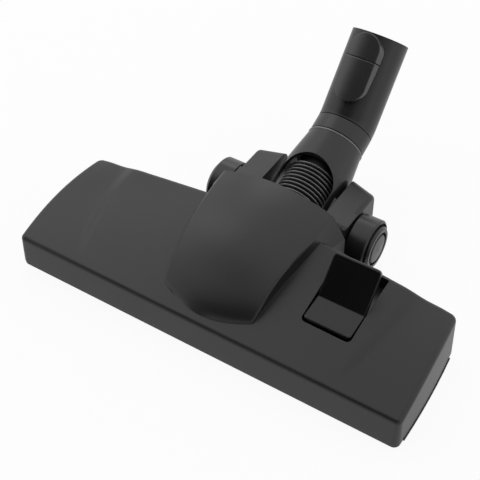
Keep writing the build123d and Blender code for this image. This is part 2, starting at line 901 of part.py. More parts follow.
def make_bellows_hose():
    """Ribbed hose from the duct spigot to the collar."""
    start, end = 1.0, hose_length - hose_end_gap
    count = int((end - start - 2 * hose_plain) / hose_pitch)
    first = (start + end - count * hose_pitch) / 2
    outline = [(hose_bore, start), (hose_root, start), (hose_root, first)]
    for i in range(count):
        low = first + i * hose_pitch
        outline += [(hose_crest, low + hose_pitch / 2), (hose_root, low + hose_pitch)]
    outline += [(hose_root, end), (hose_bore, end)]
    return hose_frame * turned(outline)


def make_hose_clamp():
    """Ring that holds the hose on the duct spigot."""
    end = clamp_start + clamp_width
    return hose_frame * ring(hose_root + clamp_wall, hose_root + running_fit, clamp_start, end)


def make_hose_cuff():
    """Seat of the hose in the collar: a ring with a stub in the hose's line."""
    seat = collar_ledge - ledge_wall - slip
    base = neck_frame * ring(collar_bore - running_fit, spigot_bore - 1, seat - cuff_height, seat)
    stub_low, stub_high = hose_length - stub_depth, hose_length + hose_end_gap
    stub = hose_frame * ring(hose_bore - slip, spigot_bore - 2, stub_low, stub_high)
    stub &= neck_frame * ring(2 * fork_radius, 0, 0, seat)
    air = hose_frame * ring(spigot_bore - 2, 0, stub_low - 1, stub_high + hose_plain)
    return base + stub - air


# Swivel ring, elbow and latch


def elbow_path():
    """Centre line from the collar's rim to the socket's mouth."""
    return FilletPolyline(collar_end + neck_axis * gap, elbow_corner, mouth, radius=bend_radius)


def swept(radius):
    """Tube core of one radius along the elbow's centre line."""
    section = Plane(origin=collar_end + neck_axis * gap, z_dir=neck_axis) * Circle(radius)
    return sweep(section, path=elbow_path())


def seam_plane():
    """Plane of the seam between swivel ring and elbow."""
    arc = elbow_path().edges().filter_by(GeomType.CIRCLE)[0]
    share = seam_turn / (elbow_angle - neck_angle)
    return Plane(origin=arc @ share, z_dir=arc % share)


def seam_room():
    """Shallow groove that shows the seam between swivel ring and elbow."""
    half = seam_groove / 2
    return Location(seam_plane()) * ring(tube_radius + seam_groove, tube_radius - seam_groove, -half, half)


def make_swivel_ring():
    """Ring under the elbow that turns on the collar's rim."""
    low = split(swept(tube_radius), bisect_by=seam_plane(), keep=Keep.BOTTOM)
    return low - neck_frame * ring(collar_bore, 0, 0, 2 * collar_length) - seam_room()


def latch_pill(inset):
    """Long rounded body of the latch, above the socket, drawn in by an inset."""
    middle = -latch_from_mouth - latch_length / 2
    foot = tube_radius * 0.65
    foot_length = latch_length + (latch_foot_width - latch_width) / 2 - 2 * inset
    low = SlotOverall(foot_length, latch_foot_width - 2 * inset, rotation=90)
    high = SlotOverall(latch_length - 2 * inset, latch_width - 2 * inset, rotation=90)
    body = loft([Pos(0, middle, foot) * low, Pos(0, middle, latch_top_radius + 1) * high], ruled=True)
    return body & Rot(90, 0, 0) * Cylinder(latch_top_radius - inset, 4 * latch_length)


def latch_room(y0, y1):
    """Everything between two places along the socket."""
    return block(-tube_radius, tube_radius, y0, y1, 0, 2 * tube_radius)


latch_split_y = -latch_from_mouth - latch_cover_length
nub_y = latch_split_y - nub_back
lever_low = tube_radius - lever_sink
lever_high = lever_low + lever_thickness
catch_y = latch_split_y + latch_cover_length / 2
tube_core = Rot(90, 0, 0) * Cylinder(tube_radius, 8 * latch_length)


def make_latch_cover():
    """Fixed half of the pill, next to the socket's mouth."""
    cover = latch_pill(0) & latch_room(latch_split_y, 0)
    cover -= latch_pill(latch_wall) & latch_room(latch_split_y - 1, -latch_from_mouth)
    return latch_frame * (cover - tube_core)


def latch_turn(angle):
    """Turn about the latch's nubs, as a placement in the latch's frame."""
    return Pos(0, nub_y, nub_height) * Rot(angle, 0, 0) * Pos(0, -nub_y, -nub_height)


def nub_rods(radius, inner, outer):
    """The two pivot nubs between two distances from the middle plane."""
    right = rod(radius, (inner, nub_y, nub_height), (outer, nub_y, nub_height))
    return right + mirror(right, about=Plane.YZ)


def make_latch_button():
    """Movable half of the pill, with its nubs, lever and catch."""
    button = latch_pill(0) & latch_room(-2 * latch_length, latch_split_y - latch_split)
    button -= latch_pill(latch_wall)
    clear_tube = Rot(90, 0, 0) * Cylinder(tube_radius + gap, 8 * latch_length)
    button -= clear_tube
    button -= latch_turn(-latch_travel) * clear_tube
    half = catch_width / 2
    heel, catch_end = nub_y - lever_heel, catch_y + catch_half
    lever = block(-half, half, heel, catch_end, lever_low, lever_high)
    lever += block(-half, half, heel, nub_y + lever_heel, lever_low, latch_top_radius)
    lever += block(-half, half, catch_y - catch_half, catch_end, socket_radius + slip, lever_high)
    lever &= Rot(90, 0, 0) * Cylinder(latch_top_radius - latch_wall / 2, 4 * latch_length)
    nubs = nub_rods(nub_radius, nub_end + slip, latch_width / 2 + latch_wall / 2)
    return latch_frame * (button + lever + nubs)


def make_elbow_tube():
    """Bent tube with the wand socket, swivel spigot, latch pocket and nub holes."""
    upper = split(swept(tube_radius), bisect_by=seam_plane(), keep=Keep.TOP)
    low = collar_length - spigot_depth
    spigot = turned(
        [
            (0, low),
            (spigot_radius + 0.6, low),
            (spigot_radius, low + 1.8),
            (spigot_radius, collar_length + swivel_length + 2),
            (0, collar_length + swivel_length + 2),
        ]
    )
    body = upper - seam_room() + neck_frame * spigot
    body -= swept(spigot_bore)
    body -= neck_frame * ring(spigot_bore, 0, 0, collar_length + 1)
    body -= socket_frame * ring(socket_radius, 0, -socket_depth, 1)
    half = catch_width / 2 + gap
    reach = catch_half + lever_play
    heel = nub_y - lever_heel - 2 * gap
    pocket = block(-half, half, heel, catch_y + reach, lever_low - gap, 2 * tube_radius)
    pocket += block(-half, half, catch_y - reach, catch_y + reach, socket_radius * 0.8, 2 * tube_radius)
    pocket += nub_rods(nub_radius + running_fit, nub_end, latch_width)
    return body - latch_frame * pocket


def make_latch_spring():
    """Leaf spring between the socket and the button's lower end."""
    low = tube_radius + leaf_thickness / 2 + running_fit
    high = latch_top_radius - latch_wall - leaf_thickness
    start = nub_y - latch_leaf_start
    bend, top = start - latch_leaf_foot, start - latch_leaf_foot - latch_leaf_rise
    points = [(0, start, low), (0, bend, low), (0, top, high), (0, top - latch_leaf_foot, high)]
    return latch_frame * leaf_spring(points, catch_width / 2)


os.makedirs("parts", exist_ok=True)
save("top_cover", make_top_cover())
save("chassis", make_chassis())
save("air_duct", make_air_duct())
save("sole_plate", make_sole_plate())
save("sole_screws", make_sole_screws())
front_lint, rear_lint = lint_strips(0)
save("front_lint_strip", front_lint)
save("rear_lint_strip", rear_lint)
save("brush_frame", make_brush_frame())
save("front_bristles", make_bristles(-brush_front_y))
save("rear_bristles", make_bristles(brush_back_y))
save_pair("lift_spring", make_lift_spring(bridge_x))
save("pedal", make_pedal())
save("pedal_pin", make_pedal_pin())
save_pair("shoulder", make_shoulder())
save_pair("axle_pin", make_axle_pin())
save_pair("wheel", make_wheel())
save_pair("hub_cap", make_hub_cap())
save("neck_fork", make_neck_fork())
save_pair("fork_bush", make_fork_bush())
save("bellows_hose", make_bellows_hose())
save("hose_clamp", make_hose_clamp())
save("hose_cuff", make_hose_cuff())
save("swivel_ring", make_swivel_ring())
save("elbow_tube", make_elbow_tube())
save("latch_cover", make_latch_cover())
save("latch_button", make_latch_button())
save("latch_spring", make_latch_spring())
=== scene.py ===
"""Looks of a vacuum floor brush head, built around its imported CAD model, in metres."""

import json
import logging
import math
import random
from dataclasses import dataclass
from enum import Enum
from typing import Any, Iterable, Sequence

import bmesh
import bpy
from mathutils import Matrix, Vector


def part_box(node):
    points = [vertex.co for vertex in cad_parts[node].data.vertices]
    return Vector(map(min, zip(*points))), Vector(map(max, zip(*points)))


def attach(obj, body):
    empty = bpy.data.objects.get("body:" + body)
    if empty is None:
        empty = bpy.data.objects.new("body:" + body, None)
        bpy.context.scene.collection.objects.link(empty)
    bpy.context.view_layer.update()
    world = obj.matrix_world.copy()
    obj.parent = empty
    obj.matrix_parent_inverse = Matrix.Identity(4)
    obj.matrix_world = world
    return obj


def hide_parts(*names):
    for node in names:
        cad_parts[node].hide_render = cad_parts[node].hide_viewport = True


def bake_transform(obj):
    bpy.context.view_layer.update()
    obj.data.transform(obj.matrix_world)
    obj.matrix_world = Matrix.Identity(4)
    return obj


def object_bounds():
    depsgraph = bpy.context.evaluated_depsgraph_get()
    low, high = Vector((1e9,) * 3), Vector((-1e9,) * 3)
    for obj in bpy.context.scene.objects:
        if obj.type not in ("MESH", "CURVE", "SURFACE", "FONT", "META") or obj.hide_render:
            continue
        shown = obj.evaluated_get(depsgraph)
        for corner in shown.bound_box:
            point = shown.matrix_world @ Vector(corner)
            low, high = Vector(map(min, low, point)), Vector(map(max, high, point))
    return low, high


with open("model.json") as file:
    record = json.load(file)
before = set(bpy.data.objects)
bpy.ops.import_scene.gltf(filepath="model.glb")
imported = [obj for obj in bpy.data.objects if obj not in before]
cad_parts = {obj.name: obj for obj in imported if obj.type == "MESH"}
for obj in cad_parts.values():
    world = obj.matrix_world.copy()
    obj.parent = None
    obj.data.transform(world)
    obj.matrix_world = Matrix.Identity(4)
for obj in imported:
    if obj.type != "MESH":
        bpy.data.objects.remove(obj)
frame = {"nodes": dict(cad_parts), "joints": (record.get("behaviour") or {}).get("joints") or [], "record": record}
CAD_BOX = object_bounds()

Point = tuple[float, float, float]
Colour = tuple[float, float, float]
Section = Sequence[tuple[float, float]]

HOSE_START: Point = (0.0, 0.0546, 0.0195)
HOSE_END: Point = (0.0, 0.11211, 0.03304)
MIDDLE = 0.5  # of patterns and random draws, which run from 0 to 1
GOLDEN_TURN = math.pi * (3 - math.sqrt(5))

log = logging.getLogger("floor_head")


class Body(Enum):
    """The moving bodies that pieces ride on."""

    HEAD = "head"
    NECK = "neck"
    ELBOW = "elbow"
    LATCH = "latch"
    BRUSH = "brush"


class Slot(Enum):
    """Names of the record's material slots."""

    COVER = "cover_plastic"
    NECK = "neck_plastic"
    HOSE = "hose_rubber"
    SPRING = "spring_steel"
    BRISTLE = "bristle"
    LINT = "lint_fabric"


class Wire:
    """A shader socket that stands in Python expressions; each operator adds a Math node."""

    def __init__(self, graph: "Graph", socket: bpy.types.NodeSocket | None) -> None:
        """Wraps one output socket of a graph, or none for a closing node."""
        self.graph = graph
        self.socket = socket

    def math(self, operation: str, first: "Term", second: "Term") -> "Wire":
        """Adds a Math node.

        Args:
            operation: Blender's name of the operation.
            first: Left operand.
            second: Right operand.

        Returns:
            The node's result.
        """
        return self.graph.node("ShaderNodeMath", {"operation": operation}, {0: first, 1: second})

    def __add__(self, other: "Term") -> "Wire":
        """Sum."""
        return self.math("ADD", self, other)

    def __radd__(self, other: "Term") -> "Wire":
        """Sum with a number on the left."""
        return self.math("ADD", other, self)

    def __sub__(self, other: "Term") -> "Wire":
        """Difference."""
        return self.math("SUBTRACT", self, other)

    def __rsub__(self, other: "Term") -> "Wire":
        """Difference from a number on the left."""
        return self.math("SUBTRACT", other, self)

    def __mul__(self, other: "Term") -> "Wire":
        """Product."""
        return self.math("MULTIPLY", self, other)

    def __rmul__(self, other: "Term") -> "Wire":
        """Product with a number on the left."""
        return self.math("MULTIPLY", other, self)

    def __truediv__(self, other: "Term") -> "Wire":
        """Quotient."""
        return self.math("DIVIDE", self, other)

    def __rtruediv__(self, other: "Term") -> "Wire":
        """Quotient of a number on the left."""
        return self.math("DIVIDE", other, self)

    def __pow__(self, other: "Term") -> "Wire":
        """Power."""
        return self.math("POWER", self, other)

    def __rpow__(self, other: "Term") -> "Wire":
        """Power of a number on the left."""
        return self.math("POWER", other, self)

    def __abs__(self) -> "Wire":
        """Value without its sign."""
        return self.math("ABSOLUTE", self, 0.0)

    def above(self, low: float, high: float) -> "Wire":
        """Share of the way between two values, eased at both ends.

        Args:
            low: Value where the share is 0.
            high: Value where it is 1.

        Returns:
            The share.
        """
        settings = {"clamp": True, "interpolation_type": "SMOOTHSTEP"}
        sockets = {"Value": self, "From Min": low, "From Max": high}
        return self.graph.node("ShaderNodeMapRange", settings, sockets)


Term = Wire | float | int


class Graph:
    """Node tree of a material or of the world."""

    def __init__(self, owner: bpy.types.Material | bpy.types.World) -> None:
        """Starts an empty tree.

        Args:
            owner: Material or world that the nodes belong to.
        """
        self.owner = owner
        owner.use_nodes = True
        self.tree = owner.node_tree
        self.tree.nodes.clear()

    @classmethod
    def material(cls, name: str) -> "Graph":
        """Starts the tree of a new material."""
        return cls(bpy.data.materials.new(name))

    def node(
        self,
        kind: str,
        settings: dict[str, Any] | None = None,
        sockets: dict[str | int, Any] | None = None,
    ) -> Wire:
        """Adds one node.

        Args:
            kind: Blender's type of the node.
            settings: Its properties, set first.
            sockets: Values or wires of its inputs, by name or number.

        Returns:
            Its first output in use.
        """
        made = self.tree.nodes.new(kind)
        for key, value in (settings or {}).items():
            setattr(made, key, value)
        for key, value in (sockets or {}).items():
            if isinstance(key, int):
                entry = made.inputs[key]
            else:
                entry = next(s for s in made.inputs if s.name == key and s.enabled)
            if isinstance(value, Wire):
                self.tree.links.new(value.socket, entry)
            else:
                entry.default_value = value
        outputs = [s for s in made.outputs if s.enabled]
        return Wire(self, outputs[0] if outputs else None)

    def output(self, wire: Wire, name: str) -> Wire:
        """Another output of the node that a wire comes from."""
        return Wire(self, wire.socket.node.outputs[name])

    def place(self, stretch: Point = (1.0, 1.0, 1.0)) -> Wire:
        """Place on the piece in metres, stretched along its axes.

        Args:
            stretch: Factors along X, Y and Z.

        Returns:
            The place as a vector.
        """
        coordinates = self.output(self.node("ShaderNodeTexCoord"), "Object")
        if stretch == (1.0, 1.0, 1.0):
            return coordinates
        return self.vector("MULTIPLY", coordinates, stretch)

    def parts(self, vector: Wire) -> tuple[Wire, Wire]:
        """X and Y of a vector."""
        split = self.node("ShaderNodeSeparateXYZ", None, {0: vector})
        return self.output(split, "X"), self.output(split, "Y")

    def vector(
        self, operation: str, first: Wire | Point, second: Wire | Point = (0.0, 0.0, 0.0)
    ) -> Wire:
        """Adds a Vector Math node.

        Args:
            operation: Blender's name of the operation.
            first: First vector.
            second: Second vector, where the operation takes one.

        Returns:
            The node's first result.
        """
        settings = {"operation": operation}
        return self.node("ShaderNodeVectorMath", settings, {0: first, 1: second})

    def along(self, vector: Wire, axis: Wire | Point) -> Wire:
        """How far a vector reaches along an axis."""
        return self.output(self.vector("DOT_PRODUCT", vector, axis), "Value")

    def noise(self, place: Wire, size: float, detail: float = 2.0) -> Wire:
        """Soft random pattern.

        Args:
            place: Where it is looked up.
            size: Typical size of its spots in metres.
            detail: Octaves of finer spots.

        Returns:
            Values from 0 to 1.
        """
        sockets = {"Vector": place, "Scale": 1.0 / size, "Detail": detail, "Roughness": 0.55}
        return self.node("ShaderNodeTexNoise", None, sockets)

    def tint(self, share: Term, first: Wire | Colour, second: Wire | Colour) -> Wire:
        """Mix of two colours.

        Args:
            share: How much of the second colour.
            first: First colour.
            second: Second colour.

        Returns:
            The mixed colour.
        """
        ends = [(*c, 1.0) if isinstance(c, tuple) else c for c in (first, second)]
        sockets = {"Factor": share, "A": ends[0], "B": ends[1]}
        return self.node("ShaderNodeMix", {"data_type": "RGBA"}, sockets)

    def leaning(self, share: Term, first: Wire, second: Wire) -> Wire:
        """Mix of two normals.

        Args:
            share: How much of the second normal.
            first: First normal.
            second: Second normal.

        Returns:
            The mixed normal.
        """
        sockets = {"Factor": share, "A": first, "B": second}
        return self.node("ShaderNodeMix", {"data_type": "VECTOR"}, sockets)

    def rounded(self, radius: float) -> Wire:
        """Normal with rounded edges of a small radius in metres."""
        return self.node("ShaderNodeBevel", {"samples": 6}, {"Radius": radius})

    def edge(self, rounded: Wire, full: float = 0.25) -> Wire:
        """How near an edge a place is.

        Args:
            rounded: Normal with rounded edges.
            full: How far that normal has turned on a full edge, as 1 less a cosine.

        Returns:
            0 on a face, towards 1 on an edge.
        """
        plain = self.output(self.node("ShaderNodeNewGeometry"), "Normal")
        return (1.0 - self.along(rounded, plain)).above(0.0, full)

    def bump(self, height: Wire, depth: float, normal: Wire | None = None) -> Wire:
        """Normal of a surface with a relief.

        Args:
            height: Relief from 0 to 1.
            depth: Its depth in metres.
            normal: Normal below the relief.

        Returns:
            The new normal.
        """
        sockets: dict[str | int, Any] = {"Height": height, "Strength": 1.0, "Distance": depth}
        if normal is not None:
            sockets["Normal"] = normal
        return self.node("ShaderNodeBump", None, sockets)

    def finish(self, sockets: dict[str | int, Any]) -> bpy.types.Material:
        """Closes a material's tree with a Principled shader.

        Args:
            sockets: Values or wires of the shader.

        Returns:
            The material.
        """
        shader = self.node("ShaderNodeBsdfPrincipled", None, sockets)
        self.node("ShaderNodeOutputMaterial", None, {"Surface": shader})
        return self.owner


def scaled(colour: Colour, factor: float, most: float = 1.0) -> Colour:
    """A colour made lighter or darker.

    Args:
        colour: The colour.
        factor: What each part is multiplied by.
        most: Highest value of a part.

    Returns:
        The new colour.
    """
    return tuple(min(factor * part, most) for part in colour)


@dataclass(frozen=True)
class Wing:
    """Upper surface of the wings beside the hump, which climbs evenly to the back."""

    front: float = -0.0412
    depth: float = 0.0818
    low: float = 0.0246
    climb: float = 0.0285

    def height(self, y: float) -> float:
        """Height of the surface at a place from front to back."""
        return self.low + self.climb * (y - self.front) / self.depth

    def slope(self) -> float:
        """Rise of the surface per metre towards the back."""
        return self.climb / self.depth


WING = Wing()


@dataclass(frozen=True)
class MouldedPlastic:
    """Fine-grained black moulding with softly worn edges."""

    name: str
    colour: Colour
    roughness: float
    specular: float = 0.5
    grain: float = 0.00055
    grain_depth: float = 0.000012
    grain_gloss: float = 0.08
    cloud: float = 0.05
    cloud_shade: float = 0.1
    cloud_gloss: float = 0.1
    edge_radius: float = 0.0005
    edge_gloss: float = 0.06
    rub: float = 1.35
    least_strength: float = 0.4
    scuff: float = 0.06
    scuff_stretch: Point = (1.0, 14.0, 14.0)
    scuff_start: float = 0.62
    scuff_full: float = 0.75
    scuff_gloss: float = 0.03

    def material(self) -> bpy.types.Material:
        """Builds the finish.

        Returns:
            A new material.
        """
        graph = Graph.material(self.name)
        place = graph.place()
        cloud = graph.noise(place, self.cloud, detail=3.0)
        grain = graph.noise(place, self.grain)
        streak = graph.noise(graph.place(self.scuff_stretch), self.scuff, detail=4.0)
        scuff = streak.above(self.scuff_start, self.scuff_full)
        rounded = graph.rounded(self.edge_radius)
        formed = self.formed(graph, rounded)
        edge = graph.edge(rounded)
        dark = scaled(self.colour, 1.0 - self.cloud_shade)
        light = scaled(self.colour, 1.0 + self.cloud_shade)
        worn = edge * (self.least_strength + (1.0 - self.least_strength) * cloud)
        colour = graph.tint(worn, graph.tint(cloud, dark, light), scaled(self.colour, self.rub))
        roughness = self.roughness + self.cloud_gloss * (cloud - MIDDLE)
        roughness += self.grain_gloss * (grain - MIDDLE)
        roughness += self.scuff_gloss * scuff - self.edge_gloss * edge
        return graph.finish({
            "Base Color": colour,
            "Roughness": roughness,
            "Specular IOR Level": self.specular,
            "Normal": graph.bump(grain, self.grain_depth, formed),
        })

    def formed(self, graph: Graph, rounded: Wire) -> Wire:
        """Normal of the moulding's own form below the grain; plain mouldings add nothing."""
        return rounded


@dataclass(frozen=True)
class CoverPlastic(MouldedPlastic):
    """The cover's moulding, with the soft step that curves across each wing."""

    step_front: float = 0.092
    step_sweep: float = 0.014
    step_curve: float = 0.5
    step_half: float = 0.004
    step_depth: float = 0.0013
    step_start: float = 0.06
    step_full: float = 0.3

    def formed(self, graph: Graph, rounded: Wire) -> Wire:
        """Adds the step of the wings to the rounded normal, fading towards the front face.

        Args:
            graph: Node tree that gets the nodes.
            rounded: Normal with rounded edges.

        Returns:
            The normal with the step.
        """
        x, y = graph.parts(graph.place())
        depth = (y - WING.front) / WING.depth
        sweep = self.step_sweep * depth.above(0.0, 1.0) ** self.step_curve
        outside = abs(x) - self.step_front - sweep
        relief = 1.0 - outside.above(-self.step_half, self.step_half)
        stepped = graph.bump(relief, self.step_depth, rounded)
        return graph.leaning(depth.above(self.step_start, self.step_full), rounded, stepped)


@dataclass(frozen=True)
class RolledSteel:
    """Steel with fine lines of rolling or turning along one axis."""

    name: str
    colour: Colour
    roughness: float
    along: Point = (0.03, 1.0, 1.0)
    line: float = 0.0006
    line_depth: float = 0.000004
    line_share: float = 0.6
    line_gloss: float = 0.2
    cloud: float = 0.03
    cloud_gloss: float = 0.12
    dull: float = 0.82
    bright: float = 1.25
    brightest: float = 0.95
    edge_radius: float = 0.0002
    edge_share: float = 0.6

    def material(self) -> bpy.types.Material:
        """Builds the finish.

        Returns:
            A new material.
        """
        graph = Graph.material(self.name)
        cloud = graph.noise(graph.place(), self.cloud, detail=3.0)
        lines = graph.noise(graph.place(self.along), self.line, detail=3.0)
        rounded = graph.rounded(self.edge_radius)
        worn = graph.edge(rounded) * self.edge_share
        shade = self.line_share * lines + (1.0 - self.line_share) * cloud
        face = graph.tint(shade, scaled(self.colour, self.dull), self.colour)
        roughness = self.roughness + self.line_gloss * (lines - MIDDLE)
        return graph.finish({
            "Base Color": graph.tint(worn, face, scaled(self.colour, self.bright, self.brightest)),
            "Roughness": roughness + self.cloud_gloss * (cloud - MIDDLE),
            "Metallic": 1.0,
            "Normal": graph.bump(lines, self.line_depth, rounded),
        })


@dataclass(frozen=True)
class HoseRubber:
    """Flexible hose skin, satin on its crests and dull in its grooves, with a painted highlight that makes the
    crests pale.
    """

    name: str
    groove_colour: Colour
    crest_highlight_colour: Colour
    roughness: float
    groove: float
    crest: float
    specular: float = 0.9
    cloud: float = 0.012
    least_strength: float = 0.7
    sheen_cloud: float = 0.6
    dullness: float = 0.3
    skin: float = 0.0004
    skin_depth: float = 0.000006
    skin_gloss: float = 0.06

    def material(self) -> bpy.types.Material:
        """Builds the finish.

        Returns:
            A new material.
        """
        graph = Graph.material(self.name)
        place = graph.place()
        cloud = graph.noise(place, self.cloud, detail=3.0)
        skin = graph.noise(place, self.skin)
        axis = tuple((Vector(HOSE_END) - Vector(HOSE_START)).normalized())
        arm = graph.vector("CROSS_PRODUCT", graph.vector("SUBTRACT", place, HOSE_START), axis)
        radius = graph.output(graph.vector("LENGTH", arm), "Value")
        # Painted highlight: the crests' colour is made pale, more strongly where the cloud is high; the same share
        # also makes the crests less rough.
        sheen_strength = self.least_strength + self.sheen_cloud * cloud
        crest_sheen = radius.above(self.groove, self.crest) * sheen_strength
        dull = self.roughness + self.dullness * (1.0 - crest_sheen)
        return graph.finish({
            "Base Color": graph.tint(crest_sheen, self.groove_colour, self.crest_highlight_colour),
            "Roughness": dull + self.skin_gloss * (skin - MIDDLE),
            "Specular IOR Level": self.specular,
            "Normal": graph.bump(skin, self.skin_depth),
        })


@dataclass(frozen=True)
class Fibre:
    """Filaments or pile whose strands differ a little in shade."""

    name: str
    root: Colour
    tip: Colour
    roughness: float
    specular: float = 0.35
    strand_share: float = 0.75
    strand_gloss: float = 0.2
    speck: float = 0.0008
    speck_depth: float = 0.00001

    def material(self) -> bpy.types.Material:
        """Builds the finish.

        Returns:
            A new material.
        """
        graph = Graph.material(self.name)
        each = graph.output(graph.node("ShaderNodeNewGeometry"), "Random Per Island")
        speck = graph.noise(graph.place(), self.speck)
        shade = self.strand_share * each + (1.0 - self.strand_share) * speck
        return graph.finish({
            "Base Color": graph.tint(shade, self.root, self.tip),
            "Roughness": self.roughness + self.strand_gloss * (each - MIDDLE),
            "Specular IOR Level": self.specular,
            "Normal": graph.bump(speck, self.speck_depth),
        })


COVER = CoverPlastic("cover_plastic", (0.011, 0.011, 0.011), 0.36)
PEDAL = MouldedPlastic("pedal_plastic", (0.004, 0.004, 0.004), 0.2, edge_radius=0.0011)
CHASSIS = MouldedPlastic("chassis_plastic", (0.013, 0.013, 0.0135), 0.45)
NECK = MouldedPlastic("neck_plastic", (0.015, 0.0152, 0.017), 0.3, grain_depth=0.000008)
LATCH = MouldedPlastic(
    "latch_plastic", (0.021, 0.0213, 0.023), 0.24, specular=0.95, edge_radius=0.0009
)
# Painted highlight: the rim bead's pale grey stands in for the bright line of light along the collar's black rim.
RIM_HIGHLIGHT = MouldedPlastic(
    "rim_painted_highlight", (0.13, 0.131, 0.135), 0.22, specular=0.8, grain_depth=0.000004
)
WHEEL = MouldedPlastic("wheel_plastic", (0.013, 0.013, 0.0135), 0.3, grain_depth=0.000006)
BEARING = MouldedPlastic("bearing_plastic", (0.008, 0.008, 0.0083), 0.4, grain_depth=0.000004)
# The pale crest colour is a painted highlight on the black rubber.
HOSE = HoseRubber(
    "hose_rubber", (0.003, 0.003, 0.003), (0.17, 0.17, 0.175), 0.2, groove=0.0171, crest=0.0183
)
SOLE = RolledSteel("sole_steel", (0.5, 0.5, 0.5), 0.32)
PIN = RolledSteel("pin_steel", (0.45, 0.45, 0.46), 0.3, along=(1.0, 0.2, 0.2), line=0.0005)
SPRING = RolledSteel(
    "spring_steel", (0.38, 0.39, 0.42), 0.34, along=(1.0, 0.05, 0.05), line=0.0004
)
BRISTLE = Fibre("bristle_nylon", (0.012, 0.012, 0.013), (0.03, 0.03, 0.032), 0.38)
LINT = Fibre("lint_pile", (0.16, 0.015, 0.018), (0.34, 0.045, 0.04), 0.75)


def hinge_line(name: str) -> tuple[Vector, Vector]:
    """Line that a hinge of the frame turns about.

    Args:
        name: Name of the joint.

    Returns:
        A point on the line, and its direction.
    """
    hinge = next(row for row in frame["joints"] if row["name"] == name)
    return Vector(hinge["pos_m"]), Vector(hinge["axis"])


def dress(nodes: Iterable[str], material: bpy.types.Material) -> None:
    """Gives CAD nodes a finish.

    Args:
        nodes: Names of the nodes.
        material: Their finish.
    """
    for name in nodes:
        node = frame["nodes"][name]
        node.data.materials.clear()
        node.data.materials.append(material)
        log.info("%s wears %s", name, material.name)


def new_piece(
    name: str, mesh: bmesh.types.BMesh, material: bpy.types.Material
) -> bpy.types.Object:
    """Turns a finished bmesh into a smooth-shaded piece.

    Args:
        name: Name of the piece.
        mesh: Its mesh, which is freed.
        material: Its finish.

    Returns:
        The new object.
    """
    data = bpy.data.meshes.new(name)
    bmesh.ops.recalc_face_normals(mesh, faces=mesh.faces)
    for face in mesh.faces:
        face.smooth = True
    mesh.to_mesh(data)
    mesh.free()
    return as_piece(name, data, material)


def as_piece(
    name: str, data: bpy.types.Mesh, material: bpy.types.Material
) -> bpy.types.Object:
    """Puts finished mesh data into the scene as a piece.

    Args:
        name: Name of the piece.
        data: Its mesh.
        material: Its finish.

    Returns:
        The new object.
    """
    data.materials.clear()
    data.materials.append(material)
    piece = bpy.data.objects.new(name, data)
    bpy.context.scene.collection.objects.link(piece)
    log.info("%s: %d faces", name, len(data.polygons))
    return piece


def bent_leaf(
    name: str,
    node: str,
    material: bpy.types.Material,
) -> None:
    """Makes a leaf spring as a copy of its solid, which takes the solid's place.

    Args:
        name: Name of the piece.
        node: Its CAD node.
        material: Its finish.
    """
    leaf = as_piece(name, frame["nodes"][node].data.copy(), material)
    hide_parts(node)
    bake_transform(leaf)


def top_slab(
    mesh: bmesh.types.BMesh, low: Vector, high: Vector, thickness: float
) -> Vector:
    """Adds a slab that fills the top of a box.

    Args:
        mesh: Mesh that gets it.
        low: Lowest corner of the box.
        high: Highest corner of the box.
        thickness: Thickness of the slab.

    Returns:
        Middle of the slab.
    """
    size = Vector((high.x - low.x, high.y - low.y, thickness))
    middle = Vector(((low.x + high.x) / 2, (low.y + high.y) / 2, high.z - thickness / 2))
    bmesh.ops.create_cube(mesh, size=1.0)
    for vert in mesh.verts:
        vert.co = middle + Vector(a * b for a, b in zip(vert.co, size))
    return middle


def strand(
    mesh: bmesh.types.BMesh, points: Sequence[Vector], radii: Sequence[float], sides: int
) -> None:
    """Adds one closed strand through points.

    Args:
        mesh: Mesh that gets it.
        points: Centres of its rings, from root to tip.
        radii: Radius at each point.
        sides: Corners of a ring.
    """
    turns = [2 * math.pi * k / sides for k in range(sides)]
    around = [Vector((math.cos(turn), math.sin(turn), 0)) for turn in turns]
    rings = [
        [mesh.verts.new(centre + arm * radius) for arm in around]
        for centre, radius in zip(points, radii)
    ]
    for low, high in zip(rings, rings[1:]):
        for k in range(sides):
            mesh.faces.new((low[k], low[(k + 1) % sides], high[(k + 1) % sides], high[k]))
    mesh.faces.new(rings[0][::-1])
    mesh.faces.new(rings[-1])


def lathe(start: Vector, axis: Vector, section: Section, sides: int) -> bmesh.types.BMesh:
    """Turns a closed half section about an axis.

    Args:
        start: Where distances along the axis begin.
        axis: Direction of the axis, of unit length.
        section: Closed outline of (radius, distance) points.
        sides: Corners of a ring.

    Returns:
        The turned mesh.
    """
    across = Vector((1, 0, 0))
    up = axis.cross(across)
    turns = [2 * math.pi * k / sides for k in range(sides)]
    around = [across * math.cos(turn) + up * math.sin(turn) for turn in turns]
    mesh = bmesh.new()
    rings = [
        [mesh.verts.new(start + axis * distance + arm * radius) for arm in around]
        for radius, distance in section
    ]
    for low, high in zip(rings, rings[1:] + rings[:1]):
        for k in range(sides):
            mesh.faces.new((low[k], low[(k + 1) % sides], high[(k + 1) % sides], high[k]))
    return mesh


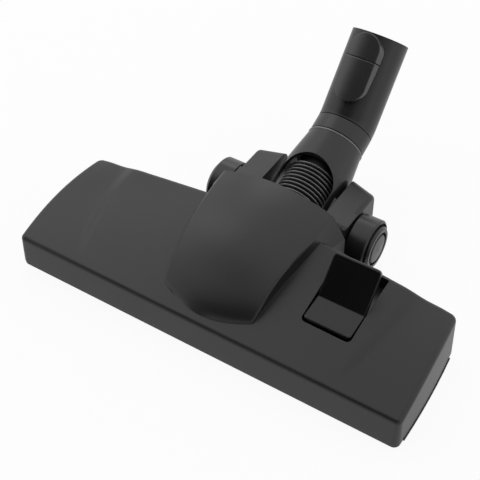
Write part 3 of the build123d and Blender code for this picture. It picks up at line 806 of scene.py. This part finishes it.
@dataclass
class Shell:
    """Cover, bearing shoulders and foot pedal."""

    shoulders: tuple[str, ...] = ("left_shoulder", "right_shoulder")
    hump_half: float = 0.046
    nose_front: float = -0.03
    nose_back: float = 0.012
    nose_share: float = 0.55
    crease_reach: float = 0.0075
    crease_right: float = 0.008
    crease_left: float = -0.014
    crease_facing: float = 0.15

    def build(self) -> None:
        """Makes the cover and dresses the other mouldings."""
        moulding = COVER.material()
        cover = self.cover(moulding)
        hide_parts("top_cover")
        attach(cover, Body.HEAD.value)
        dress(self.shoulders, moulding)
        dress(("pedal",), PEDAL.material())

    def kept(self, y: float) -> tuple[float, float]:
        """Share of its height above the wings that the hump keeps.

        Args:
            y: Place from front to back.

        Returns:
            The share and its growth per metre towards the back.
        """
        span = self.nose_back - self.nose_front
        step = min(max((y - self.nose_front) / span, 0.0), 1.0)
        room = 1.0 - self.nose_share
        share = self.nose_share + room * step * step * (3.0 - 2.0 * step)
        return share, room * 6.0 * step * (1.0 - step) / span

    def on_hump(self, point: Vector) -> bool:
        """Whether a point lies above the wings' surface on the hump."""
        return abs(point.x) < self.hump_half and point.z > WING.height(point.y)

    def drawn_normal(self, point: Vector, normal: Vector) -> Vector:
        """Normal of the drawn-down hump, eased into the wing at the nose's left.

        Args:
            point: Place on the hump before it is drawn down.
            normal: Normal there.

        Returns:
            The new normal.
        """
        slope = WING.slope()
        rise = point.z - WING.height(point.y)
        share, growth = self.kept(point.y)
        lean = slope * (1.0 - share) + rise * growth
        steeper = Vector((normal.x, normal.y - normal.z * lean / share, normal.z / share))
        near = max(1.0 - share * rise / self.crease_reach, 0.0)
        side = (self.crease_right - point.x) / (self.crease_right - self.crease_left)
        outer = normal.z > self.crease_facing
        at_nose = (1.0 - share) / (1.0 - self.nose_share) if outer else 0.0
        ease = near * min(max(side, 0.0), 1.0) * at_nose
        wing = Vector((0.0, -slope, 1.0)).normalized()
        return steeper.normalized().lerp(wing, ease).normalized()

    def cover(self, material: bpy.types.Material) -> bpy.types.Object:
        """Makes the cover from its solid, with the hump's nose drawn down onto the wings.

        Args:
            material: Its finish.

        Returns:
            The cover.
        """
        data = frame["nodes"]["top_cover"].data.copy()
        data.name = "cover_shell"
        places = [vert.co.copy() for vert in data.vertices]
        normals = [Vector(corner.vector) for corner in data.corner_normals]
        for loop in data.loops:
            place = places[loop.vertex_index]
            if self.on_hump(place):
                normals[loop.index] = self.drawn_normal(place, normals[loop.index])
        for vert, place in zip(data.vertices, places):
            if self.on_hump(place):
                wing = WING.height(place.y)
                vert.co.z = wing + (place.z - wing) * self.kept(place.y)[0]
        data.normals_split_custom_set(normals)
        return as_piece("cover_shell", data, material)


@dataclass
class Underside:
    """Chassis, air duct, steel sole with its screws, and the two lint strips."""

    mouldings: tuple[str, ...] = ("chassis", "air_duct")
    pins: tuple[str, ...] = ("sole_screws", "pedal_pin", "left_axle_pin", "right_axle_pin")
    strips: tuple[str, ...] = ("front_lint_strip", "rear_lint_strip")
    backing: float = 0.0004
    backing_bevel: float = 0.0001
    spacing: float = 0.0005
    fibre: float = 0.00016
    fibre_taper: Point = (1.0, 0.85, 0.35)
    fibre_sides: int = 3
    lean: float = 0.00035
    bow: float = 0.00005
    jitter_least: float = 0.6
    jitter_spread: float = 0.8
    tip_scatter: float = 0.0002
    tip_stray: float = 0.0001
    level: float = 0.000001
    seed: int = 7

    def build(self) -> None:
        """Dresses the solids and lays the pile of the lint strips."""
        dress(self.mouldings, CHASSIS.material())
        dress(("sole_plate",), SOLE.material())
        dress(self.pins, PIN.material())
        pile = LINT.material()
        rng = random.Random(self.seed)
        for strip in self.strips:
            piece = self.pile(strip, pile, rng)
            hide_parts(strip)
            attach(piece, Body.HEAD.value)

    def jitter(self, rng: random.Random) -> float:
        """A chance share of a spacing or a lean."""
        return self.jitter_least + self.jitter_spread * rng.random()

    def pile(
        self, strip: str, material: bpy.types.Material, rng: random.Random
    ) -> bpy.types.Object:
        """Makes one lint strip: a woven backing under short pile that leans one way.

        Args:
            strip: Name of its CAD node.
            material: Its finish.
            rng: Seeded source of chance.

        Returns:
            The strip.
        """
        low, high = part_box(strip)
        mesh = bmesh.new()
        middle = top_slab(mesh, low, high, self.backing)
        edges = [e for e in mesh.edges if abs(e.verts[0].co.z - e.verts[1].co.z) < self.level]
        bmesh.ops.bevel(
            mesh, geom=edges, offset=self.backing_bevel, segments=2, affect="EDGES"
        )
        sole_low, sole_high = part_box("sole_plate")
        towards = 1.0 if middle.y < (sole_low.y + sole_high.y) / 2 else -1.0
        bow = Vector((0, -towards * self.bow, 0))
        radii = [self.fibre * taper for taper in self.fibre_taper]
        for i in range(int((high.x - low.x) / self.spacing) - 1):
            for j in range(int((high.y - low.y) / self.spacing) - 1):
                x = low.x + (i + self.jitter(rng)) * self.spacing
                y = low.y + (j + self.jitter(rng)) * self.spacing
                tip = low.z + self.tip_scatter * rng.random()
                root = Vector((x, y, high.z - self.backing + self.backing_bevel))
                end_y = y + towards * self.lean * self.jitter(rng)
                end_x = x + self.tip_stray * (rng.random() - MIDDLE)
                end = Vector((end_x, min(max(end_y, low.y), high.y), tip))
                strand(mesh, (root, (root + end) / 2 + bow, end), radii, self.fibre_sides)
        return new_piece(f"{strip}_pile", mesh, material)


@dataclass
class BrushCarriage:
    """Brush frame, its leaf springs and the two rows of bristle tufts."""

    rows: tuple[str, ...] = ("front_bristles", "rear_bristles")
    sides: tuple[str, ...] = ("left", "right")
    leaf_foot: float = 0.0035
    pitch: float = 0.004
    tuft_radius: float = 0.00125
    filaments: int = 19
    filament: float = 0.00014
    filament_taper: Point = (1.0, 1.0, 0.8)
    filament_sides: int = 5
    gather: float = 0.8
    splay: float = 0.0003
    splay_least: float = 0.5
    stray: float = 0.00012
    bend_splay: float = 0.3
    bend_stray: float = 0.4
    tip_scatter: float = 0.0004
    root: float = 0.0020
    root_bevel: float = 0.0003
    sunk: float = 0.0002
    seed: int = 11

    def build(self) -> None:
        """Dresses the frame, makes the springs and plants the tufts."""
        dress(("brush_frame",), CHASSIS.material())
        self.springs(SPRING.material())
        nylon = BRISTLE.material()
        rng = random.Random(self.seed)
        for row in self.rows:
            piece = self.tufts(row, nylon, rng)
            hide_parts(row)
            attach(piece, Body.BRUSH.value)

    def springs(self, material: bpy.types.Material) -> None:
        """Makes the two leaf springs between the chassis and the brush frame.

        Args:
            material: Their finish.
        """
        for side in self.sides:
            node = f"{side}_lift_spring"
            bent_leaf(f"{side}_lift_leaf", node, material)

    def tufts(
        self, row: str, material: bpy.types.Material, rng: random.Random
    ) -> bpy.types.Object:
        """Makes one row: a root strip with tufts of slightly splayed filaments.

        Args:
            row: Name of its CAD node.
            material: Its finish.
            rng: Seeded source of chance.

        Returns:
            The row.
        """
        low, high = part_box(row)
        mesh = bmesh.new()
        middle = top_slab(mesh, low, high, self.root)
        bmesh.ops.bevel(
            mesh, geom=mesh.edges[:], offset=self.root_bevel, segments=2, affect="EDGES"
        )
        count = int((high.x - low.x) / self.pitch)
        start = middle.x - (count - 1) * self.pitch / 2
        floor = high.z - self.root + self.sunk
        radii = [self.filament * taper for taper in self.filament_taper]
        for i in range(count):
            centre = Vector((start + i * self.pitch, middle.y, 0))
            for k in range(self.filaments):
                reach = self.tuft_radius * math.sqrt((k + 0.5) / self.filaments) - self.filament
                turn = k * GOLDEN_TURN + i
                side = Vector((math.cos(turn), math.sin(turn), 0))
                lean = self.splay * (reach / self.tuft_radius) * (self.splay_least + rng.random())
                stray = Vector((rng.uniform(-1, 1), rng.uniform(-1, 1), 0)) * self.stray
                tip = low.z + self.tip_scatter * rng.random()
                root = centre + side * reach * self.gather + Vector((0, 0, floor))
                bend = centre + side * (reach + lean * self.bend_splay) + stray * self.bend_stray
                bend.z += (floor + tip) / 2
                end = centre + side * (reach + lean) + stray + Vector((0, 0, tip))
                end.y = min(max(end.y, low.y + self.filament), high.y - self.filament)
                strand(mesh, (root, bend, end), radii, self.filament_sides)
        return new_piece(f"{row}_tufts", mesh, material)


@dataclass
class WheelSets:
    """The two rear wheels with their hub caps."""

    nodes: tuple[str, ...] = ("left_wheel", "right_wheel", "left_hub_cap", "right_hub_cap")

    def build(self) -> None:
        """Dresses the wheels."""
        dress(self.nodes, WHEEL.material())


@dataclass
class NeckAndHose:
    """Tilting collar with its rim bead, whose pale finish is a painted highlight, its bearings and the ribbed hose
    inside it.
    """

    bearings: tuple[str, ...] = ("left_fork_bush", "right_fork_bush", "hose_clamp", "hose_cuff")
    hose_start: Point = HOSE_START
    hose_end: Point = HOSE_END
    sides: int = 112
    crest: float = 0.0182
    groove: float = 0.0152
    bore: float = 0.0148
    lip: float = 0.0004
    pitch: float = 0.003
    plain: float = 0.0035
    start_gap: float = 0.001
    end_gap: float = 0.004
    rib_points: int = 12
    rib_swell: float = 1.25
    rim_height: float = 0.0572
    rim_radius: float = 0.0196
    rim_bead: float = 0.0009
    bead_points: int = 16

    def build(self) -> None:
        """Dresses the collar and makes its bead and the hose."""
        dress(("neck_fork",), NECK.material())
        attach(self.rim(RIM_HIGHLIGHT.material()), Body.NECK.value)
        dress(self.bearings, BEARING.material())
        hose = self.hose(HOSE.material())
        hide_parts("bellows_hose")
        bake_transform(hose)

    def rim(self, material: bpy.types.Material) -> bpy.types.Object:
        """Makes the rolled bead along the collar's upper rim, painted pale grey as a highlight line.

        Args:
            material: Its finish.

        Returns:
            The bead.
        """
        pivot, _ = hinge_line("neck_pitch")
        _, axis = hinge_line("elbow_swivel")
        turns = [2 * math.pi * k / self.bead_points for k in range(self.bead_points)]
        bead = self.rim_bead
        section = [
            (self.rim_radius + bead * math.cos(turn), self.rim_height + bead * math.sin(turn))
            for turn in turns
        ]
        mesh = lathe(pivot, axis, section, self.sides)
        return new_piece("collar_rim_highlight_bead", mesh, material)

    def profile(self, length: float) -> Section:
        """Half section of the hose.

        Args:
            length: Length of the hose.

        Returns:
            Closed outline of (radius, distance) points.
        """
        first, last = self.start_gap, length - self.end_gap
        ribs = int((last - first - 2 * self.plain) / self.pitch)
        start = (first + last - ribs * self.pitch) / 2
        end = start + ribs * self.pitch
        cuff = self.groove + self.lip
        outline = [(self.bore, first), (cuff, first), (cuff, start - self.lip)]
        for rib in range(ribs):
            for k in range(self.rib_points):
                share = k / self.rib_points
                swell = abs(math.sin(math.pi * share)) ** self.rib_swell
                radius = self.groove + (self.crest - self.groove) * swell
                outline.append((radius, start + (rib + share) * self.pitch))
        outline += [(self.groove, end), (cuff, end + self.lip), (cuff, last), (self.bore, last)]
        return outline

    def hose(self, material: bpy.types.Material) -> bpy.types.Object:
        """Turns the ribbed hose about the line from the duct to the collar.

        Args:
            material: Its finish.

        Returns:
            The hose.
        """
        start, end = Vector(self.hose_start), Vector(self.hose_end)
        section = self.profile((end - start).length)
        mesh = lathe(start, (end - start).normalized(), section, self.sides)
        return new_piece("ribbed_hose", mesh, material)


@dataclass
class WandSocket:
    """Swivel ring, bent wand socket and its latch."""

    tubes: tuple[str, ...] = ("swivel_ring", "elbow_tube")
    latch: tuple[tuple[str, Body], ...] = (
        ("latch_cover", Body.ELBOW),
        ("latch_button", Body.LATCH),
    )
    leaf_foot: float = 0.003
    nub_height: float = 0.018
    tube_radius: float = 0.02
    top_radius: float = 0.024
    flatness: float = 0.42
    top_facing: float = 0.75

    def build(self) -> None:
        """Dresses the socket and makes the latch with its spring."""
        dress(self.tubes, NECK.material())
        gloss = LATCH.material()
        for node, body in self.latch:
            half = self.pill(node, gloss)
            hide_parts(node)
            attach(half, body.value)
        bent_leaf("latch_leaf", "latch_spring", SPRING.material())

    def outward(self) -> Vector:
        """Finds which way the latch lies from the socket's axis.

        Returns:
            Direction from the axis to the middle of the latch.
        """
        mounts = frame["record"]["mounts"]
        socket = next(mount for mount in mounts if mount["name"] == "wand_socket")
        return Vector((1, 0, 0)).cross(Vector(socket["axis"]))

    def proud(self, point: Vector) -> Vector:
        """Place of a latch point once the pill's top is flattened.

        Args:
            point: Place on the solid.

        Returns:
            The raised place.
        """
        out = self.outward()
        nub, _ = hinge_line("latch_press")
        height = (point - nub).dot(out) + self.nub_height
        top = math.sqrt(self.top_radius**2 - point.x**2)
        base = math.sqrt(self.tube_radius**2 - point.x**2)
        share = min(max((height - base) / (top - base), 0.0), 1.0)
        raised = point + out * (self.flatness * (self.top_radius - top) * share)
        raised.z = min(raised.z, CAD_BOX[1][2])
        return raised

    def pill(self, node: str, material: bpy.types.Material) -> bpy.types.Object:
        """Makes one half of the latch pill, its top flatter than the tube.

        Args:
            node: Its CAD node.
            material: Its finish.

        Returns:
            The half.
        """
        data = frame["nodes"][node].data.copy()
        out = self.outward()
        normals = [Vector(corner.vector) for corner in data.corner_normals]
        for normal in normals:
            if normal.dot(out) > self.top_facing:
                normal.x *= 1.0 - self.flatness
                normal.normalize()
        for vert in data.vertices:
            vert.co = self.proud(vert.co)
        data.normals_split_custom_set(normals)
        return as_piece(f"{node}_pill", data, material)


@dataclass(frozen=True)
class Softbox:
    """One large soft lamp."""

    name: str
    place: Point
    size: tuple[float, float]
    power: float
    aim: Point = (0.0, 0.03, 0.03)

    def build(self) -> None:
        """Hangs the lamp and turns it to its aim."""
        data = bpy.data.lights.new(self.name, "AREA")
        data.shape = "RECTANGLE"
        data.size, data.size_y = self.size
        data.energy = self.power
        lamp = bpy.data.objects.new(self.name, data)
        lamp.location = self.place
        towards = Vector(self.aim) - Vector(self.place)
        lamp.rotation_euler = towards.to_track_quat("-Z", "Y").to_euler()
        bpy.context.scene.collection.objects.link(lamp)
        log.info("lamp %s", self.name)


@dataclass
class Studio:
    """Pale floor, soft lamps, a light dome with dark flags, and the photo's camera."""

    camera_place: Point = (0.2545, -0.3813, 0.5266)
    azimuth: float = 33.03
    elevation: float = 45.48
    roll: float = -0.64
    lens: float = 81.54
    sensor: float = 36.0
    floor_half: float = 6.0
    floor_drop: float = 0.0002
    floor_white: float = 0.92
    floor_gloss: float = 0.78
    paper_dark: float = 0.86
    paper_light: float = 0.9
    paper_cloud: float = 0.4
    cover_edge: float = 0.006
    sky_gloss: float = 0.02
    dome_light: float = 0.98
    flag_axis: Point = (-0.053, -0.895, 0.442)
    flag_rim: float = 0.72
    flag_core: float = 0.93
    flag_light: float = 0.003
    side_axis: Point = (0.6, -0.67, 0.42)
    side_rim: float = 0.72
    side_core: float = 0.97
    side_light: float = 0.45
    lamps: tuple[Softbox, ...] = (
        Softbox("overhead_left", (-0.85, 0.1, 1.0), (0.9, 0.8), 1.5),
        Softbox("back_left", (-0.5, 0.95, 0.85), (0.5, 0.4), 0.8),
    )

    def build(self) -> None:
        """Sets up floor, lamps, surroundings and camera."""
        self.floor()
        for lamp in self.lamps:
            lamp.build()
        self.surroundings()
        self.camera()
        bpy.context.scene.view_settings.view_transform = "Standard"

    def backdrop_share(self, graph: Graph, seen: float, mirrored: float) -> Wire:
        """How far a ray sees the plain white backdrop instead of the lit surface.

        Args:
            graph: Node tree that gets the nodes.
            seen: Share for the camera, straight or through something clear.
            mirrored: Share for reflections.

        Returns:
            Share from 0 to 1.
        """
        path = graph.node("ShaderNodeLightPath")
        camera = graph.output(path, "Is Camera Ray")
        glossy = graph.output(path, "Is Glossy Ray")
        through = graph.output(path, "Is Transmission Ray")
        return seen * camera + mirrored * glossy + seen * through

    def covered(self, graph: Graph) -> Wire:
        """Share of the floor that the sole hides from the light.

        Args:
            graph: Node tree that gets the nodes.

        Returns:
            0 beside the sole, 1 well under it.
        """
        low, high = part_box("sole_plate")
        x, y = graph.parts(graph.place())
        inside_x = (high.x - low.x) / 2 - abs(x - (low.x + high.x) / 2)
        inside_y = (high.y - low.y) / 2 - abs(y - (low.y + high.y) / 2)
        return inside_x.above(0.0, self.cover_edge) * inside_y.above(0.0, self.cover_edge)

    def floor(self) -> None:
        """Lays the floor, white to the camera and with the object's soft shadow."""
        graph = Graph.material("studio_floor")
        cloud = graph.noise(graph.place(), self.paper_cloud)
        shade = graph.tint(cloud, (self.paper_dark,) * 3, (self.paper_light,) * 3)
        paper = graph.node("ShaderNodeBsdfDiffuse", None, {"Color": shade})
        glossy = graph.output(graph.node("ShaderNodeLightPath"), "Is Glossy Ray")
        strength = 1.0 - (1.0 - self.floor_gloss) * glossy
        glow = {"Color": (1.0, 1.0, 1.0, 1.0), "Strength": strength}
        white = graph.node("ShaderNodeEmission", None, glow)
        open_floor = 1.0 - self.covered(graph)
        share = self.backdrop_share(graph, self.floor_white, 1.0) * open_floor
        mixed = graph.node("ShaderNodeMixShader", None, {0: share, 1: paper, 2: white})
        graph.node("ShaderNodeOutputMaterial", None, {"Surface": mixed})
        mesh = bmesh.new()
        bmesh.ops.create_grid(mesh, x_segments=1, y_segments=1, size=self.floor_half)
        data = bpy.data.meshes.new("studio_floor")
        mesh.to_mesh(data)
        mesh.free()
        data.materials.append(graph.owner)
        floor = bpy.data.objects.new("studio_floor", data)
        floor.location.z = CAD_BOX[0][2] - self.floor_drop
        bpy.context.scene.collection.objects.link(floor)

    def surroundings(self) -> None:
        """Gives the world a dome of soft light with dark flags in front, and a white look."""
        world = bpy.data.worlds.new("studio")
        bpy.context.scene.world = world
        graph = Graph(world)
        share = self.backdrop_share(graph, 1.0, self.sky_gloss)
        sky = graph.output(graph.node("ShaderNodeTexCoord"), "Generated")
        side = graph.along(sky, self.side_axis).above(self.side_rim, self.side_core)
        flag = graph.along(sky, self.flag_axis).above(self.flag_rim, self.flag_core)
        dome = graph.tint(side, (self.dome_light,) * 3, (self.side_light,) * 3)
        dome = graph.tint(flag, dome, (self.flag_light,) * 3)
        colour = graph.tint(share, dome, (1.0, 1.0, 1.0))
        light = graph.node("ShaderNodeBackground", None, {"Color": colour, "Strength": 1.0})
        graph.node("ShaderNodeOutputWorld", None, {"Surface": light})

    def camera(self) -> None:
        """Places the camera as the photo's was."""
        angles = (self.azimuth, self.elevation, self.roll)
        azimuth, elevation, roll = (math.radians(angle) for angle in angles)
        flat = math.cos(elevation)
        back = Vector((math.sin(azimuth) * flat, -math.cos(azimuth) * flat, math.sin(elevation)))
        right = Vector((math.cos(azimuth), math.sin(azimuth), 0.0))
        up = back.cross(right)
        turned_right = right * math.cos(roll) + up * math.sin(roll)
        turned_up = up * math.cos(roll) - right * math.sin(roll)
        data = bpy.data.cameras.new("photo_camera")
        data.lens = self.lens
        data.sensor_width = self.sensor
        camera = bpy.data.objects.new("photo_camera", data)
        axes = Matrix((turned_right, turned_up, back)).transposed()
        camera.matrix_world = Matrix.Translation(self.camera_place) @ axes.to_4x4()
        bpy.context.scene.collection.objects.link(camera)
        bpy.context.scene.camera = camera


def main() -> None:
    """Builds every sub-assembly and the studio."""
    logging.basicConfig(level=logging.INFO, format="%(name)s: %(message)s")
    assemblies = (
        Shell(), Underside(), BrushCarriage(), WheelSets(), NeckAndHose(), WandSocket(), Studio()
    )
    for assembly in assemblies:
        log.info("building %s", type(assembly).__name__)
        assembly.build()


if __name__ == "__main__":
    main()
